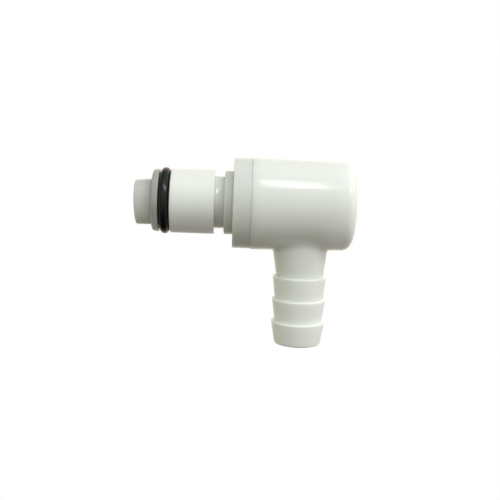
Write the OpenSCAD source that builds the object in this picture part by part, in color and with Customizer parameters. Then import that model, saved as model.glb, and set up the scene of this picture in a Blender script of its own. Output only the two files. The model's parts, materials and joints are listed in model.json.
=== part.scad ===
// Valved elbow insert for a quick-disconnect fluid coupling, with a hose barb at a right angle.
// Millimetres. The stem axis is X and the origin is where that axis meets the front face of the collar.
// The nose of the stem points to -X, the hose barb points down to -Z.

/* [Stem] */
// Diameter of the barrel that slides into the mating socket
barrel_d = 11.24; // [10.8:0.02:12.4]
// Length from the collar face to the front end of the barrel
barrel_len = 10.87; // [10:0.01:14]
// Length of the shoulder between the collar and the latch groove
shoulder_len = 1.55; // [1:0.05:2.2]
// Width of the groove that the latch plate drops into
latch_w = 1.7; // [1.2:0.05:2.2]
// Diameter at the bottom of the latch groove
latch_d = 9.16; // [8.9:0.02:10]
// Width of the rim ahead of the seal groove
rim_w = 1.16; // [1:0.02:1.6]
// Diameter of the rim beside the seal groove
rim_d = 11.1; // [10.6:0.02:11.4]
// Outer diameter of the collar
collar_d = 16; // [15:0.1:20]
// Thickness of the collar
collar_w = 3.2; // [2.4:0.1:4.5]

/* [Coupling seal] */
// Cord thickness of the O-ring on the stem
seal_section = 1.78; // [1.5:0.02:2]
// Inner diameter of the O-ring where it sits in its groove
seal_id = 8.17; // [7.8:0.01:8.6]
// Side play of the O-ring in its groove
seal_play = 0.25; // [0.1:0.05:0.5]

/* [Valve seat] */
// Diameter of the throat that guides the poppet
throat_d = 5.2; // [4.4:0.1:5.6]
// Diameter of the valve chamber behind the seat
chamber_d = 7.4; // [7:0.1:7.8]
// Length from the collar face to the small end of the conical seat
seat_depth = 11; // [9:0.1:11.4]
// Diameter of the recess in the rim that takes the back of the nose
recess_d = 9.2; // [8.9:0.05:9.6]
// Thickness left between that recess and the seal groove
recess_web = 0.25; // [0.2:0.05:0.5]

/* [Poppet] */
// Diameter of the nose at its front face
nose_d = 7.8; // [6:0.05:7.9]
// Diameter of the nose where it meets the rim
nose_root_d = 8.04; // [6.2:0.05:8.2]
// How far the nose stands out of the rim
nose_reach = 3.02; // [2:0.02:4]
// Radial play of the poppet shaft in the throat
guide_play = 0.355; // [0.2:0.005:0.5]
// Thickness of the four ribs of the shaft
rib_t = 1; // [0.8:0.1:1.4]
// Diameter of the round tail that holds the seal carrier
tail_d = 2.6; // [2:0.1:2.8]

/* [Valve seal] */
// Cord thickness of the O-ring on the valve
valve_section = 1.25; // [1:0.05:1.4]
// Diameter of that O-ring, measured between the middles of its cord
valve_mid_d = 5.1; // [4.6:0.1:5.2]
// Outer diameter of the carrier flange that backs the O-ring
carrier_d = 6.1; // [5.7:0.1:6.4]
// Thickness of the carrier flange
carrier_w = 1.2; // [0.8:0.1:1.6]

/* [Return spring] */
// Wire diameter
wire_d = 0.5; // [0.4:0.05:0.6]
// Diameter of the coil, measured between the middles of the wire
coil_d = 5.24; // [5:0.02:5.4]
// Number of open turns between the two closed end turns
open_turns = 6; // [4:1:8]

/* [Spring retainer] */
// Thickness of the outer ring and of the arms
spider_w = 1.2; // [1:0.1:2]
// How far the hub reaches forward of the ring
hub_reach = 4; // [2:0.1:4.6]
// Diameter of the hub
hub_d = 6.2; // [6.2:0.1:7]
// Width of the arms
arm_w = 1.2; // [0.8:0.1:2]
// Number of arms
arms = 4; // [3:1:6]

/* [Elbow] */
// Diameter of the elbow body where it meets the collar
body_d = 16.26; // [15:0.02:20.6]
// Diameter of the elbow body at its closed end
body_end_d = 15.66; // [14.6:0.02:20]
// Length from the collar face to the closed end
body_end = 21; // [20:0.1:26]
// Radius of the edge around the closed end
end_edge = 1.8; // [0.5:0.1:2.4]
// Thickness of the closed end
end_wall = 2.4; // [1.5:0.1:3]
// Diameter of the passage in the elbow body
passage_d = 11.2; // [8:0.1:11.6]
// Diameter of the stem spigot that is welded into the elbow
spigot_d = 12.8; // [12:0.1:13.2]
// Length of that spigot behind the collar
spigot_len = 2.2; // [1.5:0.1:3]
// Diameter of the hollow through the spigot
spigot_bore_d = 10.4; // [9.6:0.1:11]

/* [Hose barb] */
// Length from the collar face to the axis of the barb
barb_x = 12.26; // [11:0.02:14]
// Depth of the first ridge below the stem axis
first_ridge = 12.7; // [11:0.05:18]
// Length of one ridge and its taper
ridge_pitch = 4.06; // [3:0.02:5]
// Number of ridges
ridges = 3; // [2:1:5]
// Diameter over the ridges
ridge_d = 9.52; // [9:0.02:10.4]
// Width of the flat land on each ridge
ridge_land = 0.25; // [0.15:0.05:0.6]
// Diameter of the neck where it leaves the elbow body
neck_d = 9.36; // [8.8:0.02:10]
// Diameter of the neck just above the first ridge
neck_end_d = 8.46; // [7.8:0.02:8.8]
// Diameter of the core at the foot of the first ridge
core_d = 8.6; // [7.8:0.02:8.8]
// Diameter of the core at the tip
tip_d = 8.24; // [7.6:0.02:8.6]
// Diameter of the bore through the barb
barb_bore_d = 6.2; // [4:0.1:6.6]

/* [Hidden] */
$fn = 96;

// Small clearances and edge breaks that belong to the way the parts are moulded.
edge_break = 0.15;
rim_edge = 0.35;
rim_taper = 0.12;
nose_edge = 0.2;
tip_edge = 0.3;
fit_gap = 0.03;
touch_gap = 0.02;
rub_gap = 0.1;
overcut = 1;
arc_steps = 6;

// Places along the stem axis, from the nose to the closed end.
barrel_front = -barrel_len;
gland_w = seal_section + seal_play;
gland_front = barrel_front - gland_w;
rim_front = gland_front - rim_w;
recess_floor = gland_front - recess_web;
latch_rear = -shoulder_len;
latch_front = latch_rear - latch_w;
seat_x = -seat_depth;
spigot_end = collar_w + spigot_len;
ledge_x = spigot_end + spider_w;
passage_end = body_end - end_wall;

// The valve O-ring rests on the 45 degree seat. The poppet rocks about the centre of the sphere
// that touches the seat along the sealing circle, so it still seals when it hangs askew.
valve_x = seat_x + (valve_mid_d - throat_d) / 2 + (valve_section / 2 + touch_gap) * sqrt(2);
seal_circle_x = valve_x - valve_section / 2 * cos(45);
seal_circle_r = valve_mid_d / 2 + valve_section / 2 * sin(45);
rock_x = seal_circle_x + seal_circle_r;
droop = asin((guide_play - rub_gap) / (rock_x - recess_floor));

// The carrier from its front lip to its tail pilot.
lip_w = 0.45;
lip_over = 0.35;
carrier_floor_d = valve_mid_d - valve_section - 2 * touch_gap;
lip_rear = valve_x - valve_section / 2 - touch_gap;
lip_front = lip_rear - lip_w;
flange_front = valve_x + valve_section / 2 + touch_gap;
flange_rear = flange_front + carrier_w;
pilot_len = 1.2;
pilot_d = coil_d - wire_d - 0.4;
pilot_rear = flange_rear + pilot_len;

// The nose and its shaft.
nose_front = rim_front - nose_reach;
nose_rear = rim_front - 0.04;
shaft_r = throat_d / 2 - guide_play;
snap_len = 0.8;
snap_over = 0.25;

// The return spring between the carrier flange and the shoulder of the retainer hub.
hub_front = spigot_end - hub_reach;
spring_front = flange_rear + (coil_d + wire_d) / 2 * sin(droop) + 2 * touch_gap;
spring_rear = hub_front - touch_gap;
closed_pitch = wire_d * 1.04;
coil_span = spring_rear - spring_front - wire_d;
open_pitch = (coil_span - 2 * closed_pitch) / open_turns;
turns = open_turns + 2;
turn_steps = 24;
wire_sides = 8;

// The core under each ridge of the barb tapers from core_d to tip_d.
barb_tip = first_ridge + ridges * ridge_pitch;
function core_r(i) = (core_d + (tip_d - core_d) * (i - 1) / (ridges - 1)) / 2;

acetal = "#e8ebe4";
nitrile = "#1c1c1a";
stainless = "#b4b8bb";

// Puts something modelled up the Z axis along the X axis.
module along_x() {
    rotate([0, 90, 0]) children();
}

// Hangs a poppet piece on the seat: tipped down at the nose by the play in the throat.
module on_seat() {
    translate([rock_x, 0, 0]) rotate([0, -droop, 0]) translate([-rock_x, 0, 0]) children();
}

// Points of an arc around [r, x], from angle a to angle b.
function arc(r, x, radius, a, b) = [
    for (i = [0:arc_steps])
        let (t = a + (b - a) * i / arc_steps)
        [r + radius * cos(t), x + radius * sin(t)]
];

// An O-ring of the given cord, centred on the X axis.
module o_ring(x, mid_d, section) {
    translate([x, 0, 0]) along_x() rotate_extrude() translate([mid_d / 2, 0]) circle(d = section);
}

// The stem: rim, seal groove, barrel, latch groove, collar and spigot around the valve chamber.
module stem() {
    rim_r = rim_d / 2;
    barrel_r = barrel_d / 2;
    collar_r = collar_d / 2;
    spigot_r = spigot_d / 2;
    step = (spigot_bore_d - chamber_d) / 2;
    outside = concat(
        [[recess_d / 2, rim_front]],
        arc(rim_r - rim_taper - rim_edge, rim_front + rim_edge, rim_edge, -90, 0),
        [
            [rim_r, gland_front],
            [seal_id / 2, gland_front],
            [seal_id / 2, barrel_front],
            [barrel_r - edge_break, barrel_front],
            [barrel_r, barrel_front + edge_break],
            [barrel_r, latch_front],
            [latch_d / 2, latch_front],
            [latch_d / 2, latch_rear],
            [barrel_r, latch_rear],
            [barrel_r, 0],
            [collar_r - edge_break, 0],
            [collar_r, edge_break],
            [collar_r, collar_w],
            [spigot_r, collar_w],
            [spigot_r, spigot_end - edge_break],
            [spigot_r - edge_break, spigot_end]
        ]
    );
    inside = [
        [spigot_bore_d / 2, spigot_end],
        [spigot_bore_d / 2, step],
        [chamber_d / 2, 0],
        [chamber_d / 2, seat_x + (chamber_d - throat_d) / 2],
        [throat_d / 2, seat_x],
        [throat_d / 2, recess_floor],
        [recess_d / 2, recess_floor]
    ];
    color(acetal) along_x() rotate_extrude() polygon(concat(outside, inside));
}

// The neck narrows steadily from inside the elbow body to the first ridge.
neck_slope = (neck_d - neck_end_d) / 2 / (first_ridge - body_d / 2);
neck_root = passage_d / 4;
neck_root_r = neck_end_d / 2 + neck_slope * (first_ridge - neck_root);

// Outside of the hose barb, as [radius, height] around its own axis.
function barb_outline() = concat(
    [[0, -neck_root], [neck_root_r, -neck_root], [neck_end_d / 2, -first_ridge]],
    [
        for (i = [1:ridges])
            let (top = -first_ridge - (i - 1) * ridge_pitch)
            each [
                [ridge_d / 2, top],
                [ridge_d / 2, top - ridge_land],
                if (i < ridges) [core_r(i), top - ridge_pitch]
            ]
    ],
    arc(core_r(ridges) - tip_edge, -barb_tip + tip_edge, tip_edge, 0, -90),
    [[0, -barb_tip]]
);

// The elbow body: closed barrel with the barb below it, bored for the spigot and the passage.
module elbow_body() {
    front_r = body_d / 2;
    end_r = body_end_d / 2;
    shell = concat(
        [[0, collar_w], [front_r - edge_break, collar_w], [front_r, collar_w + edge_break]],
        arc(end_r - end_edge, body_end - end_edge, end_edge, 0, 90),
        [[0, body_end]]
    );
    mouth = spigot_d / 2 + fit_gap;
    hollow = [
        [0, collar_w - overcut],
        [mouth, collar_w - overcut],
        [mouth, ledge_x],
        [passage_d / 2, ledge_x],
        [passage_d / 2, passage_end],
        [0, passage_end]
    ];
    color(acetal) difference() {
        union() {
            along_x() rotate_extrude() polygon(shell);
            translate([barb_x, 0, 0]) rotate_extrude() polygon(barb_outline());
        }
        along_x() rotate_extrude() polygon(hollow);
        translate([barb_x, 0, -barb_tip - overcut])
            cylinder(d = barb_bore_d, h = barb_tip + overcut);
    }
}

// The black O-ring that seals the barrel in the mating socket.
module coupling_o_ring() {
    color(nitrile) o_ring((gland_front + barrel_front) / 2, seal_id + seal_section, seal_section);
}

// The push nose with its four-ribbed shaft and the round tail that the carrier snaps onto.
module poppet_nose() {
    nose_r = nose_d / 2;
    head = concat(
        [[0, nose_front]],
        arc(nose_r - nose_edge, nose_front + nose_edge, nose_edge, -90, 0),
        [[nose_root_d / 2, nose_rear], [0, nose_rear]]
    );
    tail_r = tail_d / 2;
    tail = [
        [0, lip_front - overcut],
        [tail_r, lip_front - overcut],
        [tail_r, pilot_rear + touch_gap],
        [tail_r + snap_over, pilot_rear + touch_gap],
        [tail_r - snap_over, pilot_rear + snap_len],
        [0, pilot_rear + snap_len]
    ];
    color(acetal) on_seat() {
        along_x() rotate_extrude() polygon(head);
        translate([nose_rear, 0, 0]) along_x() shaft(lip_front - nose_rear);
        along_x() rotate_extrude() polygon(tail);
    }
}

// Four ribs inside the shaft's round outline.
module shaft(length) {
    intersection() {
        cylinder(r = shaft_r, h = length);
        union() {
            for (turn = [0, 90])
                rotate([0, 0, turn]) translate([-shaft_r, -rib_t / 2, 0]) cube([2 * shaft_r, rib_t, length]);
        }
    }
}

// The carrier that holds the valve O-ring and centres the spring.
module seal_carrier() {
    bore_r = tail_d / 2 + touch_gap;
    lip_r = carrier_floor_d / 2 + lip_over;
    outline = [
        [bore_r, lip_front],
        [lip_r, lip_front],
        [lip_r, lip_rear],
        [carrier_floor_d / 2, lip_rear],
        [carrier_floor_d / 2, flange_front],
        [carrier_d / 2, flange_front],
        [carrier_d / 2, flange_rear],
        [pilot_d / 2, flange_rear],
        [pilot_d / 2, pilot_rear - edge_break],
        [pilot_d / 2 - edge_break, pilot_rear],
        [bore_r, pilot_rear]
    ];
    color(acetal) on_seat() along_x() rotate_extrude() polygon(outline);
}

// The O-ring that closes on the conical seat.
module valve_o_ring() {
    color(nitrile) on_seat() o_ring(valve_x, valve_mid_d, valve_section);
}

// Axial place of the wire after t turns: one closed turn, the open turns, one closed turn.
function coil_x(t) =
    spring_front + wire_d / 2
    + closed_pitch * (min(t, 1) + max(t - turns + 1, 0))
    + open_pitch * min(max(t - 1, 0), open_turns);

// The stainless compression spring, as one swept wire.
module return_spring() {
    last = turns * turn_steps;
    rings = [
        for (i = [0:last], j = [0:wire_sides - 1])
            let (
                around = 360 * i / turn_steps,
                b = 360 * j / wire_sides,
                r = (coil_d + wire_d * cos(b)) / 2
            )
            [coil_x(i / turn_steps) + wire_d / 2 * sin(b), r * cos(around), r * sin(around)]
    ];
    sides = [
        for (i = [0:last - 1], j = [0:wire_sides - 1])
            let (a = i * wire_sides + j, b = i * wire_sides + (j + 1) % wire_sides)
            [a, b, b + wire_sides, a + wire_sides]
    ];
    start_cap = [[for (j = [wire_sides - 1:-1:0]) j]];
    end_cap = [[for (j = [0:wire_sides - 1]) last * wire_sides + j]];
    color(stainless) polyhedron(points = rings, faces = concat(sides, start_cap, end_cap), convexity = 10);
}

// The spider that the spring pushes on: an outer ring, arms, and a cored hub with a pilot.
module spring_retainer() {
    ring_r = spigot_d / 2 - touch_gap;
    opening_r = spigot_bore_d / 2;
    hub_r = hub_d / 2;
    pilot_r = pilot_d / 2;
    core_wall = 1;
    hub = [
        [0, hub_front - pilot_len],
        [pilot_r - edge_break, hub_front - pilot_len],
        [pilot_r, hub_front - pilot_len + edge_break],
        [pilot_r, hub_front],
        [hub_r, hub_front],
        [hub_r, ledge_x],
        [hub_r - core_wall, ledge_x],
        [hub_r - core_wall, hub_front + core_wall],
        [0, hub_front + core_wall]
    ];
    reach = (hub_r + ring_r + opening_r) / 2 - hub_r / 2;
    color(acetal) {
        along_x() rotate_extrude() polygon(hub);
        translate([spigot_end, 0, 0]) along_x() difference() {
            cylinder(r = ring_r, h = spider_w);
            translate([0, 0, -overcut]) cylinder(r = opening_r, h = spider_w + 2 * overcut);
        }
        for (i = [0:arms - 1])
            rotate([45 + i * 360 / arms, 0, 0])
                translate([spigot_end, -arm_w / 2, hub_r - core_wall / 2])
                    cube([spider_w, arm_w, reach - hub_r + core_wall / 2]);
    }
}

stem();
elbow_body();
coupling_o_ring();
poppet_nose();
seal_carrier();
valve_o_ring();
return_spring();
spring_retainer();
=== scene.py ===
import json
from math import asin, atan2, cos, hypot, pi, radians, sin, sqrt

import bmesh
import bpy
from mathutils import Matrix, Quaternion, Vector

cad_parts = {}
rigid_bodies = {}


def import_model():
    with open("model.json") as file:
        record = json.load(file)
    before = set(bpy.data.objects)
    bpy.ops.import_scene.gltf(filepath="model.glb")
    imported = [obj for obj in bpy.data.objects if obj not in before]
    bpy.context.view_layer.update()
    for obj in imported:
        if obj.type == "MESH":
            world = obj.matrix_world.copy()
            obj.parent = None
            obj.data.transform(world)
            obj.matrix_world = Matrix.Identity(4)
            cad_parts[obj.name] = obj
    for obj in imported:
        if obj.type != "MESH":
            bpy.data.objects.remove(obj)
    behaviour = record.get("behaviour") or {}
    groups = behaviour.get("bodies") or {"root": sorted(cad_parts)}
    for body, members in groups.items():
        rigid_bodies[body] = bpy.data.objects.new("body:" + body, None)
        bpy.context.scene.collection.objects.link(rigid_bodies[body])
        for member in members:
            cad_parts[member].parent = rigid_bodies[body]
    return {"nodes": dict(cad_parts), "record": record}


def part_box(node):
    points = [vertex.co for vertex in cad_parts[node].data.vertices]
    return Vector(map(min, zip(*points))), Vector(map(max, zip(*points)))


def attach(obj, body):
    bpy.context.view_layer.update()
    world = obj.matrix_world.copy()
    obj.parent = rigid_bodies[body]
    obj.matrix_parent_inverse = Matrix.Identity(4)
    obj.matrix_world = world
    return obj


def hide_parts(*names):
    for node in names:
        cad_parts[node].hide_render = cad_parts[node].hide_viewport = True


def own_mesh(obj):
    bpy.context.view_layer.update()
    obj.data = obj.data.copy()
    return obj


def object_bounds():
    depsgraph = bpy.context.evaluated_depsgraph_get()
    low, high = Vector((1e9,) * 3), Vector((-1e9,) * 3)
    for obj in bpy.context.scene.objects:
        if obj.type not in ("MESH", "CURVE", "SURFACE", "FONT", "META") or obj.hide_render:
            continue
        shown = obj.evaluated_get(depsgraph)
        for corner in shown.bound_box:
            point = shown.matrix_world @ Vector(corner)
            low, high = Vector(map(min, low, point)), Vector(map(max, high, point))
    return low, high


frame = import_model()
cad_low, cad_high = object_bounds()
mounts = {mount["name"]: mount for mount in frame["record"]["mounts"]}
mm = 0.001

# ---------------------------------------------------------------------------
# View, floor and light. The fitting is held just clear of a plain white table.
# The light is broad, from above and from the closed end of the elbow, with one
# narrow soft box for the long highlight and a square one for the edges.
# ---------------------------------------------------------------------------

view_distance = 134.9 * mm
view_aim = Vector((3.24, 0, -8.32)) * mm
view_azimuth = radians(-0.93)
view_elevation = radians(7.36)
view_roll = radians(2.07)
view_lens = 54.6

backward = Vector((
    sin(view_azimuth) * cos(view_elevation),
    -cos(view_azimuth) * cos(view_elevation),
    sin(view_elevation),
))
bpy.ops.object.camera_add(location=view_aim + view_distance * backward)
camera = bpy.context.object
camera.name = "camera"
camera.rotation_mode = "QUATERNION"
roll = Quaternion((0, 0, 1), view_roll)
camera.rotation_quaternion = (-backward).to_track_quat("-Z", "Y") @ roll
camera.data.lens = view_lens
camera.data.clip_start = 5 * mm
camera.data.clip_end = 20
bpy.context.scene.camera = camera
bpy.context.scene.view_settings.view_transform = "Standard"


class Wire:
    """An output in a shader tree. Arithmetic on it adds Math nodes."""

    def __init__(self, tree, socket=None):
        self.tree = tree
        self.socket = socket

    def node(self, kind, settings=None, sockets=None, output=0):
        """Adds a node, sets its settings, then gives its sockets values or links."""
        added = self.tree.nodes.new(kind)
        for name, value in (settings or {}).items():
            setattr(added, name, value)
        for name, value in (sockets or {}).items():
            if isinstance(value, Wire):
                self.tree.links.new(value.socket, added.inputs[name])
            else:
                added.inputs[name].default_value = value
        return Wire(self.tree, added.outputs[output] if len(added.outputs) else None)

    def maths(self, operation, first, second):
        return self.node("ShaderNodeMath", {"operation": operation}, {0: first, 1: second})

    def __add__(self, other):
        return self.maths("ADD", self, other)

    def __radd__(self, other):
        return self.maths("ADD", other, self)

    def __sub__(self, other):
        return self.maths("SUBTRACT", self, other)

    def __rsub__(self, other):
        return self.maths("SUBTRACT", other, self)

    def __mul__(self, other):
        return self.maths("MULTIPLY", self, other)

    def __rmul__(self, other):
        return self.maths("MULTIPLY", other, self)

    def __abs__(self):
        return self.maths("ABSOLUTE", self, 0)


# The room's light comes from broad panels. Each has a direction and a colour, and fades to its sides.
# The colours aren't chosen by hand: a least-squares solver made them.
panel_fade = 3
panels = (
    ((1, 0, 1), (0.74, 0.66, 0.70, 1)),
    ((1, 0, 0), (0.74, 0.72, 0.68, 1)),
    ((-1, 0, 0), (0.64, 0.65, 0.53, 1)),
    ((0, 1, 0), (1.52, 1.36, 1.20, 1)),
    ((0, 0, 1), (0.26, 0.29, 0.24, 1)),
    ((0, -1, 1), (0.77, 0.85, 0.87, 1)),
    ((0, -1, 0), (0.42, 0.39, 0.31, 1)),
)

world = bpy.data.worlds.new("room")
world.use_nodes = True
world.node_tree.nodes.clear()
bpy.context.scene.world = world
room = Wire(world.node_tree)
way = room.node("ShaderNodeTexCoord", output="Generated")
lighting = None
for toward, colour in panels:
    aimed = room.node(
        "ShaderNodeVectorMath",
        {"operation": "DOT_PRODUCT"},
        {0: way, 1: Vector(toward).normalized()},
        output="Value",
    )
    facing = room.maths("POWER", room.maths("MAXIMUM", aimed, 0), panel_fade)
    panel = room.node("ShaderNodeBackground", sockets={"Color": colour, "Strength": facing})
    if lighting is None:
        lighting = panel
    else:
        lighting = room.node("ShaderNodeAddShader", sockets={0: lighting, 1: panel})
backdrop = room.node("ShaderNodeBackground", sockets={"Color": (1, 1, 1, 1), "Strength": 1})
from_camera = room.node("ShaderNodeLightPath", output="Is Camera Ray")
either = room.node("ShaderNodeMixShader", sockets={0: from_camera, 1: lighting, 2: backdrop})
room.node("ShaderNodeOutputWorld", sockets={"Surface": either})


def soft_box(name, place, target, width, height, power, colour):
    """A rectangular lamp turned towards a point."""
    bpy.ops.object.light_add(type="AREA", location=place)
    lamp = bpy.context.object
    lamp.name = name
    lamp.data.shape = "RECTANGLE"
    lamp.data.size = width
    lamp.data.size_y = height
    lamp.data.energy = power
    lamp.data.color = colour
    lamp.rotation_mode = "QUATERNION"
    lamp.rotation_quaternion = (target - place).to_track_quat("-Z", "Y")
    return lamp


# Both lamps aim at the middle of the elbow: one draws the long highlight, the other lights the edges.
lamp_target = Vector((10.7, 0, 0)) * mm
key_place = Vector((39, -175, 241)) * mm
edge_place = Vector((170, -150, 185)) * mm
soft_box("key_lamp", key_place, lamp_target, 32 * mm, 95 * mm, power=0.075, colour=(1, 1, 0.97))
soft_box("edge_lamp", edge_place, lamp_target, 60 * mm, 60 * mm, power=0.195, colour=(0.88, 1, 1))


def start_material(name):
    """A new material with no nodes yet, and the wire that its nodes are added to."""
    material = bpy.data.materials.new(name)
    material.use_nodes = True
    material.node_tree.nodes.clear()
    return material, Wire(material.node_tree)


def wear(piece, material):
    """Gives a piece one material."""
    piece.data.materials.clear()
    piece.data.materials.append(material)


# The table is only seen: it throws no light up on the fitting and takes no shadow.
floor_drop = 1 * mm
floor_size = 3
bpy.ops.object.select_all(action="DESELECT")
bpy.ops.mesh.primitive_plane_add(size=floor_size, location=(0, 0, cad_low.z - floor_drop))
table = bpy.context.object
table.name = "table"
table_white, paper = start_material("table_white")
paper_glow = paper.node("ShaderNodeEmission", sockets={"Color": (1, 1, 1, 1), "Strength": 1})
paper.node("ShaderNodeOutputMaterial", sockets={"Surface": paper_glow})
wear(table, table_white)
table.visible_diffuse = False
table.visible_glossy = False
table.visible_transmission = False
table.visible_shadow = False

# ---------------------------------------------------------------------------
# Stem. One moulding in milky acetal: rim, seal groove, barrel, latch groove,
# shoulder and collar, with the valve chamber and its conical seat inside and a
# spigot at the back that is welded into the elbow. The barrel is satin from
# sliding in its socket, and the shoulder keeps the gloss of the mould.
# ---------------------------------------------------------------------------

stem_low, stem_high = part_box("stem")
ring_low, ring_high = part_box("coupling_o_ring")
elbow_low, elbow_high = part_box("elbow_body")

turned_sides = 144
collar_r = stem_high.z
collar_width = elbow_low.x
barrel_r = mounts["coupling_stem"]["dims"]["r_mm"] * mm
barrel_front = -10.87 * mm
shoulder_width = 1.55 * mm
latch_width = 1.70 * mm
latch_front = -shoulder_width - latch_width
latch_r = 4.58 * mm
gland_width = 2.03 * mm
gland_r = ring_high.z - (ring_high.x - ring_low.x)
gland_front = barrel_front - gland_width
rim_r = 5.55 * mm
rim_lead_in = 0.12 * mm
recess_r = 4.6 * mm
recess_web = 0.25 * mm
throat_r = 2.6 * mm
chamber_r = 3.7 * mm
seat_x = -11 * mm
spigot_r = 6.4 * mm
spigot_bore_r = 5.2 * mm
chamber_step = spigot_bore_r - chamber_r


def deselect_all():
    bpy.ops.object.select_all(action="DESELECT")


def pick(piece):
    """Selects one piece alone and makes it the active one."""
    deselect_all()
    piece.select_set(True)
    bpy.context.view_layer.objects.active = piece


def start_ring(name, axis, centre, place, radius, sides):
    """A circle of edges around the X or Z axis through centre, left in edit mode, all selected."""
    deselect_all()
    turn = (0, pi / 2, 0) if axis == "X" else (0, 0, 0)
    middle = Vector(centre)
    middle["XYZ".index(axis)] = place
    bpy.ops.mesh.primitive_circle_add(
        vertices=sides, radius=radius, fill_type="NOTHING", location=middle, rotation=turn
    )
    piece = bpy.context.object
    piece.name = name
    bpy.ops.object.transform_apply(location=True, rotation=True, scale=True)
    bpy.ops.object.mode_set(mode="EDIT")
    bpy.ops.mesh.select_mode(type="EDGE")
    bpy.ops.mesh.select_all(action="SELECT")
    return piece


def draw_out(axis, centre, outline):
    """Draws the selected ring out through the (place, radius) pairs of an outline, as on a lathe."""
    along = "XYZ".index(axis)
    place, radius = outline[0]
    for next_place, next_radius in outline[1:]:
        step = Vector((0, 0, 0))
        step[along] = next_place - place
        bpy.ops.mesh.extrude_edges_move(TRANSFORM_OT_translate={"value": step})
        grow = [next_radius / radius] * 3
        grow[along] = 1
        pivot = Vector(centre)
        pivot[along] = next_place
        bpy.ops.transform.resize(value=grow, center_override=pivot)
        place, radius = next_place, next_radius


def close_mesh(filled=False):
    """Closes the two open ends of the shape: with flat discs, or by bridging them into one wall."""
    bpy.ops.mesh.select_all(action="DESELECT")
    bpy.ops.mesh.select_non_manifold()
    if filled:
        bpy.ops.mesh.edge_face_add()
    else:
        bpy.ops.mesh.bridge_edge_loops()
    bpy.ops.mesh.select_all(action="SELECT")
    bpy.ops.mesh.normals_make_consistent(inside=False)


def round_rings(piece, axis, centre, rings, width, segments):
    """Bevels the rings of edges that lie at these (place, radius) pairs."""
    along = "XYZ".index(axis)
    near = 2e-6
    mesh = bmesh.from_edit_mesh(piece.data)
    for edge in mesh.edges:
        edge.select_set(False)
    for edge in mesh.edges:
        for place, radius in rings:
            on_ring = True
            for corner in edge.verts:
                arm = corner.co - Vector(centre)
                height = corner.co[along]
                arm[along] = 0
                on_ring = on_ring and abs(height - place) < near and abs(arm.length - radius) < near
            if on_ring:
                edge.select_set(True)
    bmesh.update_edit_mesh(piece.data)
    bpy.ops.mesh.bevel(offset=width, segments=segments, profile=0.5, affect="EDGES")


def finish_piece(piece, crease_angle=40):
    """Leaves edit mode, smooths the shading below the crease angle and keeps wide faces even."""
    if bpy.context.mode != "OBJECT":
        bpy.ops.object.mode_set(mode="OBJECT")
    pick(piece)
    bpy.ops.object.shade_smooth_by_angle(angle=radians(crease_angle))
    evener = piece.modifiers.new("even_normals", "WEIGHTED_NORMAL")
    evener.weight = 100
    evener.keep_sharp = True
    bpy.ops.object.modifier_apply(modifier=evener.name)


rim_front = (stem_low.x, rim_r - rim_lead_in)
rim_back = (gland_front, rim_r)
gland_floor = [(gland_front, gland_r), (barrel_front, gland_r)]
barrel_edges = [(barrel_front, barrel_r), (latch_front, barrel_r)]
latch_floor = [(latch_front, latch_r), (-shoulder_width, latch_r)]
shoulder_front = (-shoulder_width, barrel_r)
shoulder_back = (0, barrel_r)
collar_front = (0, collar_r)
collar_back = (collar_width, collar_r)
spigot_end = (stem_high.x, spigot_r)

# Two extra rings on the shoulder keep its shading straight between its edges.
even_from = 0.18 * mm
stem_axis = (0, 0, 0)
stem_outline = [
    (stem_low.x, recess_r),
    rim_front,
    rim_back,
    *gland_floor,
    *barrel_edges,
    *latch_floor,
    shoulder_front,
    (-shoulder_width + even_from, barrel_r),
    (-even_from, barrel_r),
    shoulder_back,
    collar_front,
    collar_back,
    (collar_width, spigot_r),
    spigot_end,
    (stem_high.x, spigot_bore_r),
    (chamber_step, spigot_bore_r),
    (0, chamber_r),
    (seat_x + chamber_r - throat_r, chamber_r),
    (seat_x, throat_r),
    (gland_front - recess_web, throat_r),
    (gland_front - recess_web, recess_r),
]
stem = start_ring("stem_moulding", "X", stem_axis, *stem_outline[0], turned_sides)
draw_out("X", stem_axis, stem_outline)
close_mesh()

# The rim is well rounded for the O-ring's sake, the working edges are only broken.
rim_edge = 0.35 * mm
seam_edge = 0.05 * mm
broken_edge = 0.12 * mm
foot_fillet = 0.06 * mm
outer_edges = [*barrel_edges, shoulder_front, collar_front, spigot_end]
inner_corners = [rim_back, *gland_floor, *latch_floor, shoulder_back]
round_rings(stem, "X", stem_axis, [rim_front], rim_edge, 6)
round_rings(stem, "X", stem_axis, [collar_back], seam_edge / 2, 3)
round_rings(stem, "X", stem_axis, outer_edges, broken_edge, 3)
round_rings(stem, "X", stem_axis, inner_corners, foot_fillet, 2)
finish_piece(stem)


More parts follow.
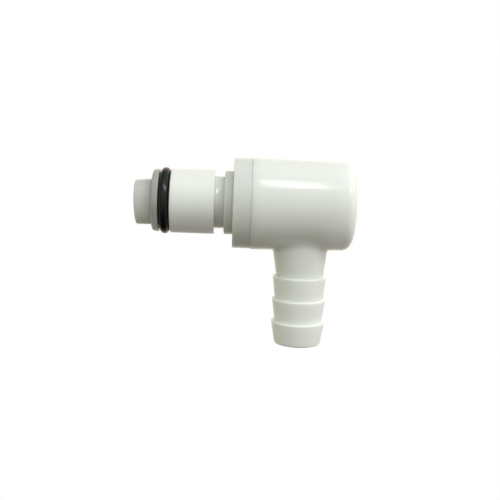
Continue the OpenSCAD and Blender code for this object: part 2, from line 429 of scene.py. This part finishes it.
def acetal(name, gloss, tone=1, painted_shade_and_light=(), satin=None, depth=1.1 * mm):
    """Milky acetal: faint clouding, drag marks from the mould and a parting line at y = 0.

    Each band (X from and to, Z from and to, fade, share) paints shade into the colour, greyer, or paints
    light, whiter if the share is below zero. Satin (axis, from, to) has lost its gloss.
    """
    material, skin = start_material(name)
    place = skin.node("ShaderNodeTexCoord", output="Object")
    split = {"Vector": place}
    at = {axis: skin.node("ShaderNodeSeparateXYZ", sockets=split, output=axis) for axis in "XYZ"}

    def rise(value, start, end):
        smooth = {"interpolation_type": "SMOOTHSTEP"}
        return skin.node("ShaderNodeMapRange", smooth, {0: value, 1: start, 2: end})

    def between(value, start, end, fade):
        return rise(value, start - fade, start + fade) - rise(value, end - fade, end + fade)

    clouding = skin.node("ShaderNodeTexNoise", sockets={"Vector": place, "Scale": 170, "Detail": 3})
    drawn_out = skin.node("ShaderNodeMapping", sockets={"Vector": place, "Scale": (300, 4200, 4200)})
    drag = skin.node("ShaderNodeTexNoise", sockets={"Vector": drawn_out, "Scale": 1, "Detail": 4})
    grain = skin.node("ShaderNodeTexNoise", sockets={"Vector": place, "Scale": 9000, "Detail": 2})
    dots = skin.node("ShaderNodeTexNoise", sockets={"Vector": place, "Scale": 2600})
    specks = rise(dots, 0.70, 0.80)
    parting = 1 - rise(abs(at["Y"]), 0.008 * mm, 0.035 * mm)

    # The clouding is the plastic's own tone; the bands add painted shade and painted light on top of it.
    tone_and_painted_shade = 0.05 * clouding
    for across, upright, fade, share in painted_shade_and_light:
        painted_band = between(at["X"], *across, fade) * between(at["Z"], *upright, fade)
        tone_and_painted_shade = tone_and_painted_shade + share * painted_band
    white = (0.86 * tone, 0.87 * tone, 0.835 * tone, 1)
    dark = (0, 0, 0, 1)
    speck_grey = (0.70 * tone, 0.71 * tone, 0.66 * tone, 1)
    either_side = {"data_type": "RGBA", "clamp_factor": False}
    milk = skin.node("ShaderNodeMix", either_side, {0: tone_and_painted_shade, 6: white, 7: dark}, output=2)
    speckled = {0: 0.35 * specks, 6: milk, 7: speck_grey}
    colour = skin.node("ShaderNodeMix", {"data_type": "RGBA"}, speckled, output=2)
    roughness = gloss + 0.05 * clouding + 0.08 * drag + 0.08 * parting
    if satin:
        axis, start, end = satin
        lost_gloss = 0.22
        roughness = roughness + lost_gloss * between(at[axis], start, end, 0.15 * mm)
    relief = 0.25 * grain + 0.3 * drag + 1.2 * parting - 0.3 * specks
    bumped = skin.node(
        "ShaderNodeBump", sockets={"Height": relief, "Strength": 0.3, "Distance": 0.012 * mm}
    )
    plastic = skin.node(
        "ShaderNodeBsdfPrincipled",
        {"subsurface_method": "RANDOM_WALK"},
        {
            "Base Color": colour,
            "Roughness": roughness,
            "Normal": bumped,
            "IOR": 1.48,
            "Subsurface Weight": 0.6,
            "Subsurface Radius": (1.0, 1.0, 0.85),
            "Subsurface Scale": depth,
        },
    )
    skin.node("ShaderNodeOutputMaterial", sockets={"Surface": plastic})
    return material


stem_gloss = 0.06
band_fade = 0.15 * mm
painted_seam_highlight = 0.15 * mm
far = 100 * mm
# These bands paint light and shade into the stem's colour. The rim with its seal groove, the latch groove
# and the shoulder are painted darker for the shade that the O-ring, the barrel and the collar throw on
# them. The undersides of the rim and the barrel are painted lighter for light from below. The collar is a
# little darker, and a thin strip at the seam is a painted highlight.
stem_painted_shading = (
    ((-far, barrel_front), (-far, far), band_fade, 0.53),
    ((-far, barrel_front), (-far, -3.2 * mm), 2 * mm, -0.42),
    ((barrel_front, -shoulder_width), (-far, -3.6 * mm), 1.2 * mm, -0.25),
    ((latch_front, -shoulder_width), (-far, far), band_fade, 0.16),
    ((-shoulder_width, 0), (-far, far), band_fade, 0.16),
    ((0, collar_width), (-far, far), band_fade, 0.15),
    ((collar_width - painted_seam_highlight, far), (-far, far), painted_seam_highlight / 2, -0.15),
)
stem_skin = acetal("acetal_stem", stem_gloss, painted_shade_and_light=stem_painted_shading, satin=("X", barrel_front, latch_front))
wear(stem, stem_skin)
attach(stem, "housing")
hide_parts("stem")

# ---------------------------------------------------------------------------
# Elbow body. The second acetal moulding: a closed barrel with the hose barb
# standing out of it at a right angle, joined by a small fillet. The stem's
# spigot is welded into its mouth, where a fine step shows round the seam.
# ---------------------------------------------------------------------------

barb_x = mounts["hose_barb"]["pos_m"][0]
barb_axis = (barb_x, 0, 0)
body_r = elbow_high.z
body_end_r = 7.83 * mm
body_end = elbow_high.x
end_edge = 1.8 * mm
end_wall = 2.4 * mm
passage_r = 5.6 * mm
mouth_r = 6.43 * mm
ledge_x = 6.6 * mm
taper_start = collar_width + 0.15 * mm

# The mould's gate leaves a dimple with a nub in the middle of the closed end.
gate_r = 0.9 * mm
gate_floor = body_end - 0.25 * mm
nub_r = 0.35 * mm
nub_top = body_end - 0.1 * mm
gate_edge = 0.06 * mm

body_axis = (0, 0, 0)
body_sides = 160
side_rings = 12
body_outline = [
    (nub_top, nub_r / 2),
    (nub_top, nub_r),
    (gate_floor, nub_r),
    (gate_floor, gate_r),
    (body_end, gate_r),
    (body_end, body_end_r),
]
for i in range(side_rings):
    share = i / side_rings
    along_side = body_end - end_edge + share * (taper_start - body_end + end_edge)
    body_outline.append((along_side, body_end_r + share * (body_r - body_end_r)))
body_outline += [
    (collar_width, body_r),
    (collar_width, mouth_r),
    (ledge_x, mouth_r),
    (ledge_x, passage_r),
    (body_end - end_wall, passage_r),
]
elbow = start_ring("elbow_moulding", "X", body_axis, *body_outline[0], body_sides)
draw_out("X", body_axis, body_outline)
close_mesh(filled=True)
round_rings(elbow, "X", body_axis, [(body_end, body_end_r)], end_edge, 12)
round_rings(elbow, "X", body_axis, [(collar_width, body_r)], seam_edge, 3)
round_rings(elbow, "X", body_axis, [(body_end, gate_r), (nub_top, nub_r)], gate_edge, 3)
bpy.ops.object.mode_set(mode="OBJECT")

first_ridge = -mounts["hose_barb"]["pos_m"][2]
ridge_r = mounts["hose_barb"]["dims"]["r_mm"] * mm
ridge_count = 3
ridge_land = 0.25 * mm
ridge_pitch = (mounts["hose_barb"]["dims"]["length_mm"] * mm - ridge_land) / (ridge_count - 1)
barb_tip = -elbow_low.z
core_r = 4.30 * mm
tip_r = 4.12 * mm
tip_edge = 0.3 * mm
ridge_edge = 0.10 * mm
bore_r = 3.1 * mm
bore_mouth = 0.25 * mm
neck_end_r = 4.23 * mm
neck_r = 4.68 * mm
neck_slope = (neck_r - neck_end_r) / (first_ridge - body_r)
neck_lean = 0.3 * mm
neck_top = -body_r - 1.2 * mm
root_fillet = 0.45 * mm
root_fillet_extra = 0.75 * mm
root_steps = 8
settling_rounds = 6
sunk = 0.012 * mm
barb_sides = 128


def underside(px, py):
    """Height of the underside of the elbow's barrel over a point of the XY plane."""
    share = (body_end - end_edge - px) / (body_end - end_edge - taper_start)
    radius = body_end_r + share * (body_r - body_end_r)
    return -sqrt(radius * radius - py * py)


def neck_at(z):
    """Radius of the neck at a height."""
    return neck_end_r + neck_slope * (z + first_ridge)


def root_point(angle, share):
    """A point of the fillet that leads from the neck, share 0, onto the barrel, share 1."""
    fillet = root_fillet + root_fillet_extra * sin(angle) ** 2
    radius = neck_r
    for _ in range(settling_rounds):
        meet_z = underside(barb_x + radius * cos(angle), radius * sin(angle))
        radius = neck_at(meet_z)
    start_z = meet_z - fillet
    out_r = radius + fillet
    out_z = underside(barb_x + out_r * cos(angle), out_r * sin(angle)) + sunk
    weights = ((1 - share) ** 2, 2 * share * (1 - share), share**2)
    bend_r = weights[0] * neck_at(start_z) + weights[1] * radius + weights[2] * out_r
    bend_z = weights[0] * start_z + weights[1] * meet_z + weights[2] * out_z
    return Vector((barb_x + bend_r * cos(angle), bend_r * sin(angle), bend_z))


# Each ridge is a cone that ends in a narrow land, over a core that thins towards the tip.
tip_ring = (-barb_tip, tip_r)
ridge_tops = [(-first_ridge - i * ridge_pitch, ridge_r) for i in range(ridge_count)]
ridge_lands = [(top - ridge_land, radius) for top, radius in ridge_tops]
feet = [(-first_ridge, neck_end_r)]
for i in range(1, ridge_count):
    share = (i - 1) / (ridge_count - 1)
    feet.append((-first_ridge - i * ridge_pitch, core_r + share * (tip_r - core_r)))
barb_outline = [tip_ring]
for land, top, foot in zip(reversed(ridge_lands), reversed(ridge_tops), reversed(feet)):
    barb_outline += [land, top, foot]
barb_outline.append((neck_top, neck_at(neck_top)))
barb = start_ring("hose_barb", "Z", barb_axis, *barb_outline[0], barb_sides)
draw_out("Z", barb_axis, barb_outline)
raised = {"value": (0, 0, 0.1 * mm)}
for step in range(root_steps + 1):
    bpy.ops.mesh.extrude_edges_move(TRANSFORM_OT_translate=raised)
    mesh = bmesh.from_edit_mesh(barb.data)
    for corner in mesh.verts:
        if corner.select:
            angle = atan2(corner.co.y, corner.co.x - barb_x)
            corner.co = root_point(angle, step / root_steps)
    bmesh.update_edit_mesh(barb.data)

# The neck widens a little more towards the stem than away from it.
mesh = bmesh.from_edit_mesh(barb.data)
for corner in mesh.verts:
    risen = max(0, corner.co.z + first_ridge) / (first_ridge - body_r)
    towards_stem = max(0, barb_x - corner.co.x) / neck_r
    corner.co.x -= neck_lean * risen * towards_stem
bmesh.update_edit_mesh(barb.data)

# The top of the barb ends inside the elbow's wall, clear of the passage.
bpy.ops.mesh.extrude_edges_move(TRANSFORM_OT_translate=raised)
mesh = bmesh.from_edit_mesh(barb.data)
inside_wall_z = -(passage_r + body_end_r) / 2
for corner in mesh.verts:
    if corner.select:
        angle = atan2(corner.co.y, corner.co.x - barb_x)
        corner.co = Vector((barb_x + core_r * cos(angle), core_r * sin(angle), inside_wall_z))
bmesh.update_edit_mesh(barb.data)
close_mesh(filled=True)
round_rings(barb, "Z", barb_axis, ridge_tops, ridge_edge, 4)
round_rings(barb, "Z", barb_axis, ridge_lands, ridge_edge, 3)
round_rings(barb, "Z", barb_axis, [tip_ring], tip_edge, 5)
round_rings(barb, "Z", barb_axis, feet, ridge_edge, 3)
bpy.ops.object.mode_set(mode="OBJECT")


def combine(piece, tool, operation):
    """Joins a piece with a tool shape, or cuts it with the tool, and throws the tool away."""
    pick(piece)
    joint = piece.modifiers.new("combine", "BOOLEAN")
    joint.operation = operation
    joint.solver = "EXACT"
    joint.object = tool
    bpy.ops.object.modifier_apply(modifier=joint.name)
    bpy.data.objects.remove(tool)


combine(elbow, barb, "UNION")

# The bore has a bevelled mouth, which starts below the tip so that the cut is clean.
below_tip = 1 * mm
bore_sides = 96
bore_outline = [
    (-barb_tip - below_tip, bore_r + bore_mouth + below_tip),
    (-barb_tip + bore_mouth, bore_r),
    (-body_r, bore_r),
    (-passage_r / 2, bore_r),
]
bore = start_ring("bore", "Z", barb_axis, *bore_outline[0], bore_sides)
draw_out("Z", barb_axis, bore_outline)
close_mesh(filled=True)
bpy.ops.object.mode_set(mode="OBJECT")
combine(elbow, bore, "DIFFERENCE")

# Where the fillet runs out on the barrel, joining the two shapes can leave scraps of a few faces.
pick(elbow)
bpy.ops.object.mode_set(mode="EDIT")
bpy.ops.mesh.select_all(action="DESELECT")
mesh = bmesh.from_edit_mesh(elbow.data)
front_face = min(mesh.faces, key=lambda face: face.calc_center_median().x)
front_face.select_set(True)
bmesh.update_edit_mesh(elbow.data)
bpy.ops.mesh.select_linked()
bpy.ops.mesh.select_all(action="INVERT")
bpy.ops.mesh.delete(type="VERT")
bpy.ops.object.mode_set(mode="OBJECT")
finish_piece(elbow)

elbow_gloss = 0.07
# These bands paint light into the elbow's colour. The barb below its first ridge, the closed end and the
# lower side of the end are painted lighter for the light that reaches them, and a thin strip at the seam
# is a painted highlight.
elbow_painted_light = (
    ((-far, far), (-far, -first_ridge), 1.5 * mm, -0.10),
    ((body_end - end_wall, far), (-far, far), 2.5 * mm, -0.05),
    ((body_end - 2 * end_wall, far), (-body_r, -2.5 * mm), 2.5 * mm, -0.18),
    ((-far, collar_width + painted_seam_highlight), (-far, far), painted_seam_highlight / 2, -0.16),
)
barb_satin = ("Z", -far, -first_ridge)
wear(elbow, acetal("acetal_elbow", elbow_gloss, tone=0.97, painted_shade_and_light=elbow_painted_light, satin=barb_satin))
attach(elbow, "housing")
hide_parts("elbow_body")

# ---------------------------------------------------------------------------
# Coupling O-ring. Black nitrile with a film of silicone grease, stretched into
# the groove behind the rim. Moulding leaves a thin flash line round its outside.
# ---------------------------------------------------------------------------


def nitrile(name):
    """Black nitrile: greasy patches, a fine bloom and a little dust."""
    material, skin = start_material(name)
    place = skin.node("ShaderNodeTexCoord", output="Object")
    grease = skin.node("ShaderNodeTexNoise", sockets={"Vector": place, "Scale": 450, "Detail": 3})
    bloom = skin.node("ShaderNodeTexNoise", sockets={"Vector": place, "Scale": 5200, "Detail": 4})
    motes = skin.node("ShaderNodeTexNoise", sockets={"Vector": place, "Scale": 7000})
    smooth = {"interpolation_type": "SMOOTHSTEP"}
    dust = skin.node("ShaderNodeMapRange", smooth, {0: motes, 1: 0.72, 2: 0.80})
    black = (0.002, 0.0025, 0.002, 1)
    greyed = (0.006, 0.007, 0.006, 1)
    dust_grey = (0.16, 0.16, 0.15, 1)
    mix = {"data_type": "RGBA"}
    rubber = skin.node("ShaderNodeMix", mix, {0: bloom, 6: black, 7: greyed}, output=2)
    colour = skin.node("ShaderNodeMix", mix, {0: 0.4 * dust, 6: rubber, 7: dust_grey}, output=2)
    roughness = 0.04 + 0.10 * grease + 0.04 * bloom + 0.2 * dust
    relief = 0.6 * bloom + 0.5 * dust
    bumped = skin.node(
        "ShaderNodeBump", sockets={"Height": relief, "Strength": 0.4, "Distance": 0.01 * mm}
    )
    surface = skin.node(
        "ShaderNodeBsdfPrincipled",
        sockets={
            "Base Color": colour,
            "Roughness": roughness,
            "Normal": bumped,
            "IOR": 1.52,
            "Specular IOR Level": 0.3,
        },
    )
    skin.node("ShaderNodeOutputMaterial", sockets={"Surface": surface})
    return material


cord_r = (ring_high.x - ring_low.x) / 2
ring_mid_r = ring_high.z - cord_r
ring_x = (ring_low.x + ring_high.x) / 2
cord_sides = 40
ring_sides = 160
flash_height = 0.012 * mm
flash_width = 0.05 * mm
deselect_all()
bpy.ops.mesh.primitive_torus_add(
    location=(ring_x, 0, 0),
    rotation=(0, pi / 2, 0),
    major_radius=ring_mid_r,
    minor_radius=cord_r - flash_height,
    major_segments=ring_sides,
    minor_segments=cord_sides,
)
o_ring = bpy.context.object
o_ring.name = "coupling_seal"
bpy.ops.object.transform_apply(location=True, rotation=True, scale=True)
bpy.ops.object.mode_set(mode="EDIT")
bpy.ops.mesh.select_mode(type="EDGE")
outermost = [(ring_x, ring_mid_r + cord_r - flash_height)]
round_rings(o_ring, "X", (0, 0, 0), outermost, flash_width, 2)
mesh = bmesh.from_edit_mesh(o_ring.data)
for corner in mesh.verts:
    on_middle = abs(corner.co.x - ring_x) < flash_width / 5
    corner.select_set(on_middle and hypot(corner.co.y, corner.co.z) > ring_mid_r)
mesh.select_flush_mode()
bmesh.update_edit_mesh(o_ring.data)
flash_grow = (ring_mid_r + cord_r) / (ring_mid_r + cord_r - flash_height)
bpy.ops.transform.resize(value=(1, flash_grow, flash_grow), center_override=(ring_x, 0, 0))
finish_piece(o_ring, 60)
wear(o_ring, nitrile("nitrile_coupling"))
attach(o_ring, "housing")
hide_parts("coupling_o_ring")

# ---------------------------------------------------------------------------
# Poppet nose. An acetal moulding that the mating valve pushes in: a blunt
# head, a shaft with four ribs that fluid runs between, and a round tail with a
# snap. Its colour is painted darker for the shade it lies in, and lighter on its
# underside. It hangs a little askew in the throat, resting on the valve seal.
# ---------------------------------------------------------------------------

nose_low, nose_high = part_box("poppet_nose")
carrier_low, carrier_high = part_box("seal_carrier")
nose_reach = 3.02 * mm
nose_front = stem_low.x - nose_reach
nose_rear = stem_low.x - 0.04 * mm
nose_front_r = 3.90 * mm
nose_root_r = 4.02 * mm
nose_edge = 0.2 * mm
dish_depth = 0.3 * mm
dish_r = 2.6 * mm
dish_edge = 0.08 * mm
start_r = 0.4 * mm
shaft_r = 2.245 * mm
rib_thickness = 1 * mm
tail_r = 1.3 * mm
snap_r = 1.55 * mm
valve_mid_r = 2.55 * mm
valve_cord_r = 0.625 * mm
stand_off = 0.02 * mm
rub_gap = 0.1 * mm

# The poppet rocks about the centre of the sphere that touches the conical seat where the seal does.
seal_rise = (valve_cord_r + stand_off) * sqrt(2)
valve_x = seat_x + valve_mid_r - throat_r + seal_rise
slant = sqrt(0.5)
rock_x = valve_x - valve_cord_r * slant + valve_mid_r + valve_cord_r * slant
droop = asin((throat_r - shaft_r - rub_gap) / (rock_x - gland_front + recess_web))
carrier_lip = 0.45 * mm
pilot_length = 2.4 * mm
lip_front = valve_x - valve_cord_r - stand_off - carrier_lip
pilot_rear = valve_x + valve_cord_r + stand_off + pilot_length

nose_axis = (0, 0, 0)
nose_sides = 128
dish_foot = (nose_front + dish_depth, dish_r)
dish_lip = (nose_front, dish_r + dish_depth)
head_front = (nose_front, nose_front_r)
head_back = (nose_rear, nose_root_r)
nose_outline = [
    (nose_front + dish_depth, start_r),
    dish_foot,
    dish_lip,
    head_front,
    head_back,
    (nose_rear, shaft_r - start_r),
]
nose = start_ring("push_nose", "X", nose_axis, *nose_outline[0], nose_sides)
draw_out("X", nose_axis, nose_outline)
close_mesh(filled=True)
round_rings(nose, "X", nose_axis, [head_front], nose_edge, 5)
round_rings(nose, "X", nose_axis, [dish_foot, dish_lip, head_back], dish_edge, 3)
bpy.ops.object.mode_set(mode="OBJECT")

# The shaft is a cylinder of which only a cross of two bars is kept, which leaves the four ribs.
into_head = 0.2 * mm
shaft_sides = 96
shaft_outline = [(nose_rear - into_head, shaft_r), (lip_front, shaft_r)]
ribs = start_ring("ribs", "X", nose_axis, *shaft_outline[0], shaft_sides)
draw_out("X", nose_axis, shaft_outline)
close_mesh(filled=True)
bpy.ops.object.mode_set(mode="OBJECT")
shaft_length = lip_front - nose_rear
deselect_all()
crossing = None
for turned in (0, pi / 2):
    bpy.ops.mesh.primitive_cube_add(size=1, location=((nose_rear + lip_front) / 2, 0, 0))
    bar = bpy.context.object
    bar.scale = (2 * shaft_length, rib_thickness, 3 * shaft_r)
    bar.rotation_euler.x = turned
    bpy.ops.object.transform_apply(location=True, rotation=True, scale=True)
    if crossing is None:
        crossing = bar
    else:
        combine(crossing, bar, "UNION")
combine(ribs, crossing, "INTERSECT")
combine(nose, ribs, "UNION")

# The tail runs into the shaft and ends in the snap, whose far side is a lead-in cone.
into_shaft = 1 * mm
snap_length = 0.8 * mm
snap_edge = 0.06 * mm
tail_sides = 64
snap_ring = (pilot_rear + stand_off, snap_r)
tail_outline = [
    (lip_front - into_shaft, tail_r),
    (pilot_rear + stand_off, tail_r),
    snap_ring,
    (pilot_rear + snap_length, 2 * tail_r - snap_r),
]
tail = start_ring("tail", "X", nose_axis, *tail_outline[0], tail_sides)
draw_out("X", nose_axis, tail_outline)
close_mesh(filled=True)
round_rings(tail, "X", nose_axis, [snap_ring], snap_edge, 3)
bpy.ops.object.mode_set(mode="OBJECT")
combine(nose, tail, "UNION")

pick(nose)
bpy.context.scene.cursor.location = (rock_x, 0, 0)
bpy.ops.object.origin_set(type="ORIGIN_CURSOR")
nose.rotation_euler.y = -droop
bpy.ops.object.transform_apply(location=True, rotation=True, scale=True)
finish_piece(nose)
# The nose's darker tone is painted shade, and its band paints its underside lighter.
nose_gloss = 0.22
nose_painted_light = (((-far, far), (-far, -1.5 * mm), 2.5 * mm, -0.42),)
wear(nose, acetal("acetal_nose", nose_gloss, tone=0.68, painted_shade_and_light=nose_painted_light, depth=1.8 * mm))
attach(nose, "poppet")
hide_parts("poppet_nose")

# ---------------------------------------------------------------------------
# Seal carrier and valve O-ring. The carrier is a small turned acetal spool that
# snaps on the tail of the poppet, and the O-ring on it closes on the seat.
# ---------------------------------------------------------------------------

inner_gloss = 0.30
wear(frame["nodes"]["seal_carrier"], acetal("acetal_carrier", inner_gloss))
wear(frame["nodes"]["valve_o_ring"], nitrile("nitrile_valve"))

# ---------------------------------------------------------------------------
# Return spring. Hard drawn stainless wire wound into eight turns, the first and
# the last closed and ground flat. It pushes the carrier towards the nose.
# ---------------------------------------------------------------------------


def stainless(name):
    """Drawn stainless wire: bright metal with fine drawing lines and patches left by the coiling tools."""
    material, skin = start_material(name)
    place = skin.node("ShaderNodeTexCoord", output="Object")
    patches = skin.node("ShaderNodeTexNoise", sockets={"Vector": place, "Scale": 900, "Detail": 3})
    squeezed = skin.node("ShaderNodeMapping", sockets={"Vector": place, "Scale": (16000, 1200, 1200)})
    lines = skin.node("ShaderNodeTexNoise", sockets={"Vector": squeezed, "Scale": 1, "Detail": 3})
    bright = (0.66, 0.67, 0.68, 1)
    dull = (0.50, 0.50, 0.50, 1)
    mix = {"data_type": "RGBA"}
    colour = skin.node("ShaderNodeMix", mix, {0: patches, 6: bright, 7: dull}, output=2)
    bumped = skin.node(
        "ShaderNodeBump", sockets={"Height": lines, "Strength": 0.3, "Distance": 0.004 * mm}
    )
    metal = skin.node(
        "ShaderNodeBsdfPrincipled",
        sockets={
            "Base Color": colour,
            "Metallic": 1,
            "Roughness": 0.16 + 0.14 * patches + 0.12 * lines,
            "Normal": bumped,
        },
    )
    skin.node("ShaderNodeOutputMaterial", sockets={"Surface": metal})
    return material


spring_low, spring_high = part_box("return_spring")
wire_r = 0.25 * mm
coil_r = spring_high.z - wire_r
end_pitch = 1.04 * 2 * wire_r
open_turns = 6
turns = open_turns + 2
ground = 0.12 * mm
first_x = spring_low.x + wire_r - ground
span = spring_high.x - spring_low.x - 2 * (wire_r - ground)
open_pitch = (span - 2 * end_pitch) / open_turns
points_per_turn = 48

wire = bpy.data.curves.new("return_spring_wire", "CURVE")
wire.dimensions = "3D"
wire.bevel_depth = wire_r
wire.bevel_resolution = 4
wire.use_fill_caps = True
line = wire.splines.new("POLY")
line.points.add(turns * points_per_turn)
for i, point in enumerate(line.points):
    wound = i / points_per_turn
    closed_part = min(wound, 1) + max(wound - turns + 1, 0)
    open_part = min(max(wound - 1, 0), open_turns)
    at_x = first_x + end_pitch * closed_part + open_pitch * open_part
    around = 2 * pi * wound
    point.co = (at_x, coil_r * cos(around), coil_r * sin(around), 1)
spring = bpy.data.objects.new("return_spring_wire", wire)
bpy.context.scene.collection.objects.link(spring)
pick(spring)
bpy.ops.object.convert(target="MESH")
spring = bpy.context.object
bpy.ops.object.mode_set(mode="EDIT")
bpy.ops.mesh.select_all(action="SELECT")
bpy.ops.mesh.remove_doubles(threshold=0.001 * mm)
bpy.ops.mesh.normals_make_consistent(inside=False)
bpy.ops.object.mode_set(mode="OBJECT")

# Grinding leaves nothing past the two end planes.
for corner in spring.data.vertices:
    corner.co.x = min(max(corner.co.x, spring_low.x), spring_high.x)
finish_piece(spring, 50)
wear(spring, stainless("stainless_wire"))
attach(spring, "housing")
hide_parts("return_spring")
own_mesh(spring)

# ---------------------------------------------------------------------------
# Spring retainer. An acetal spider trapped between the spigot and the ledge in
# the elbow: the spring seats on its hub and the fluid passes between its arms.
# ---------------------------------------------------------------------------

wear(frame["nodes"]["spring_retainer"], acetal("acetal_retainer", inner_gloss))
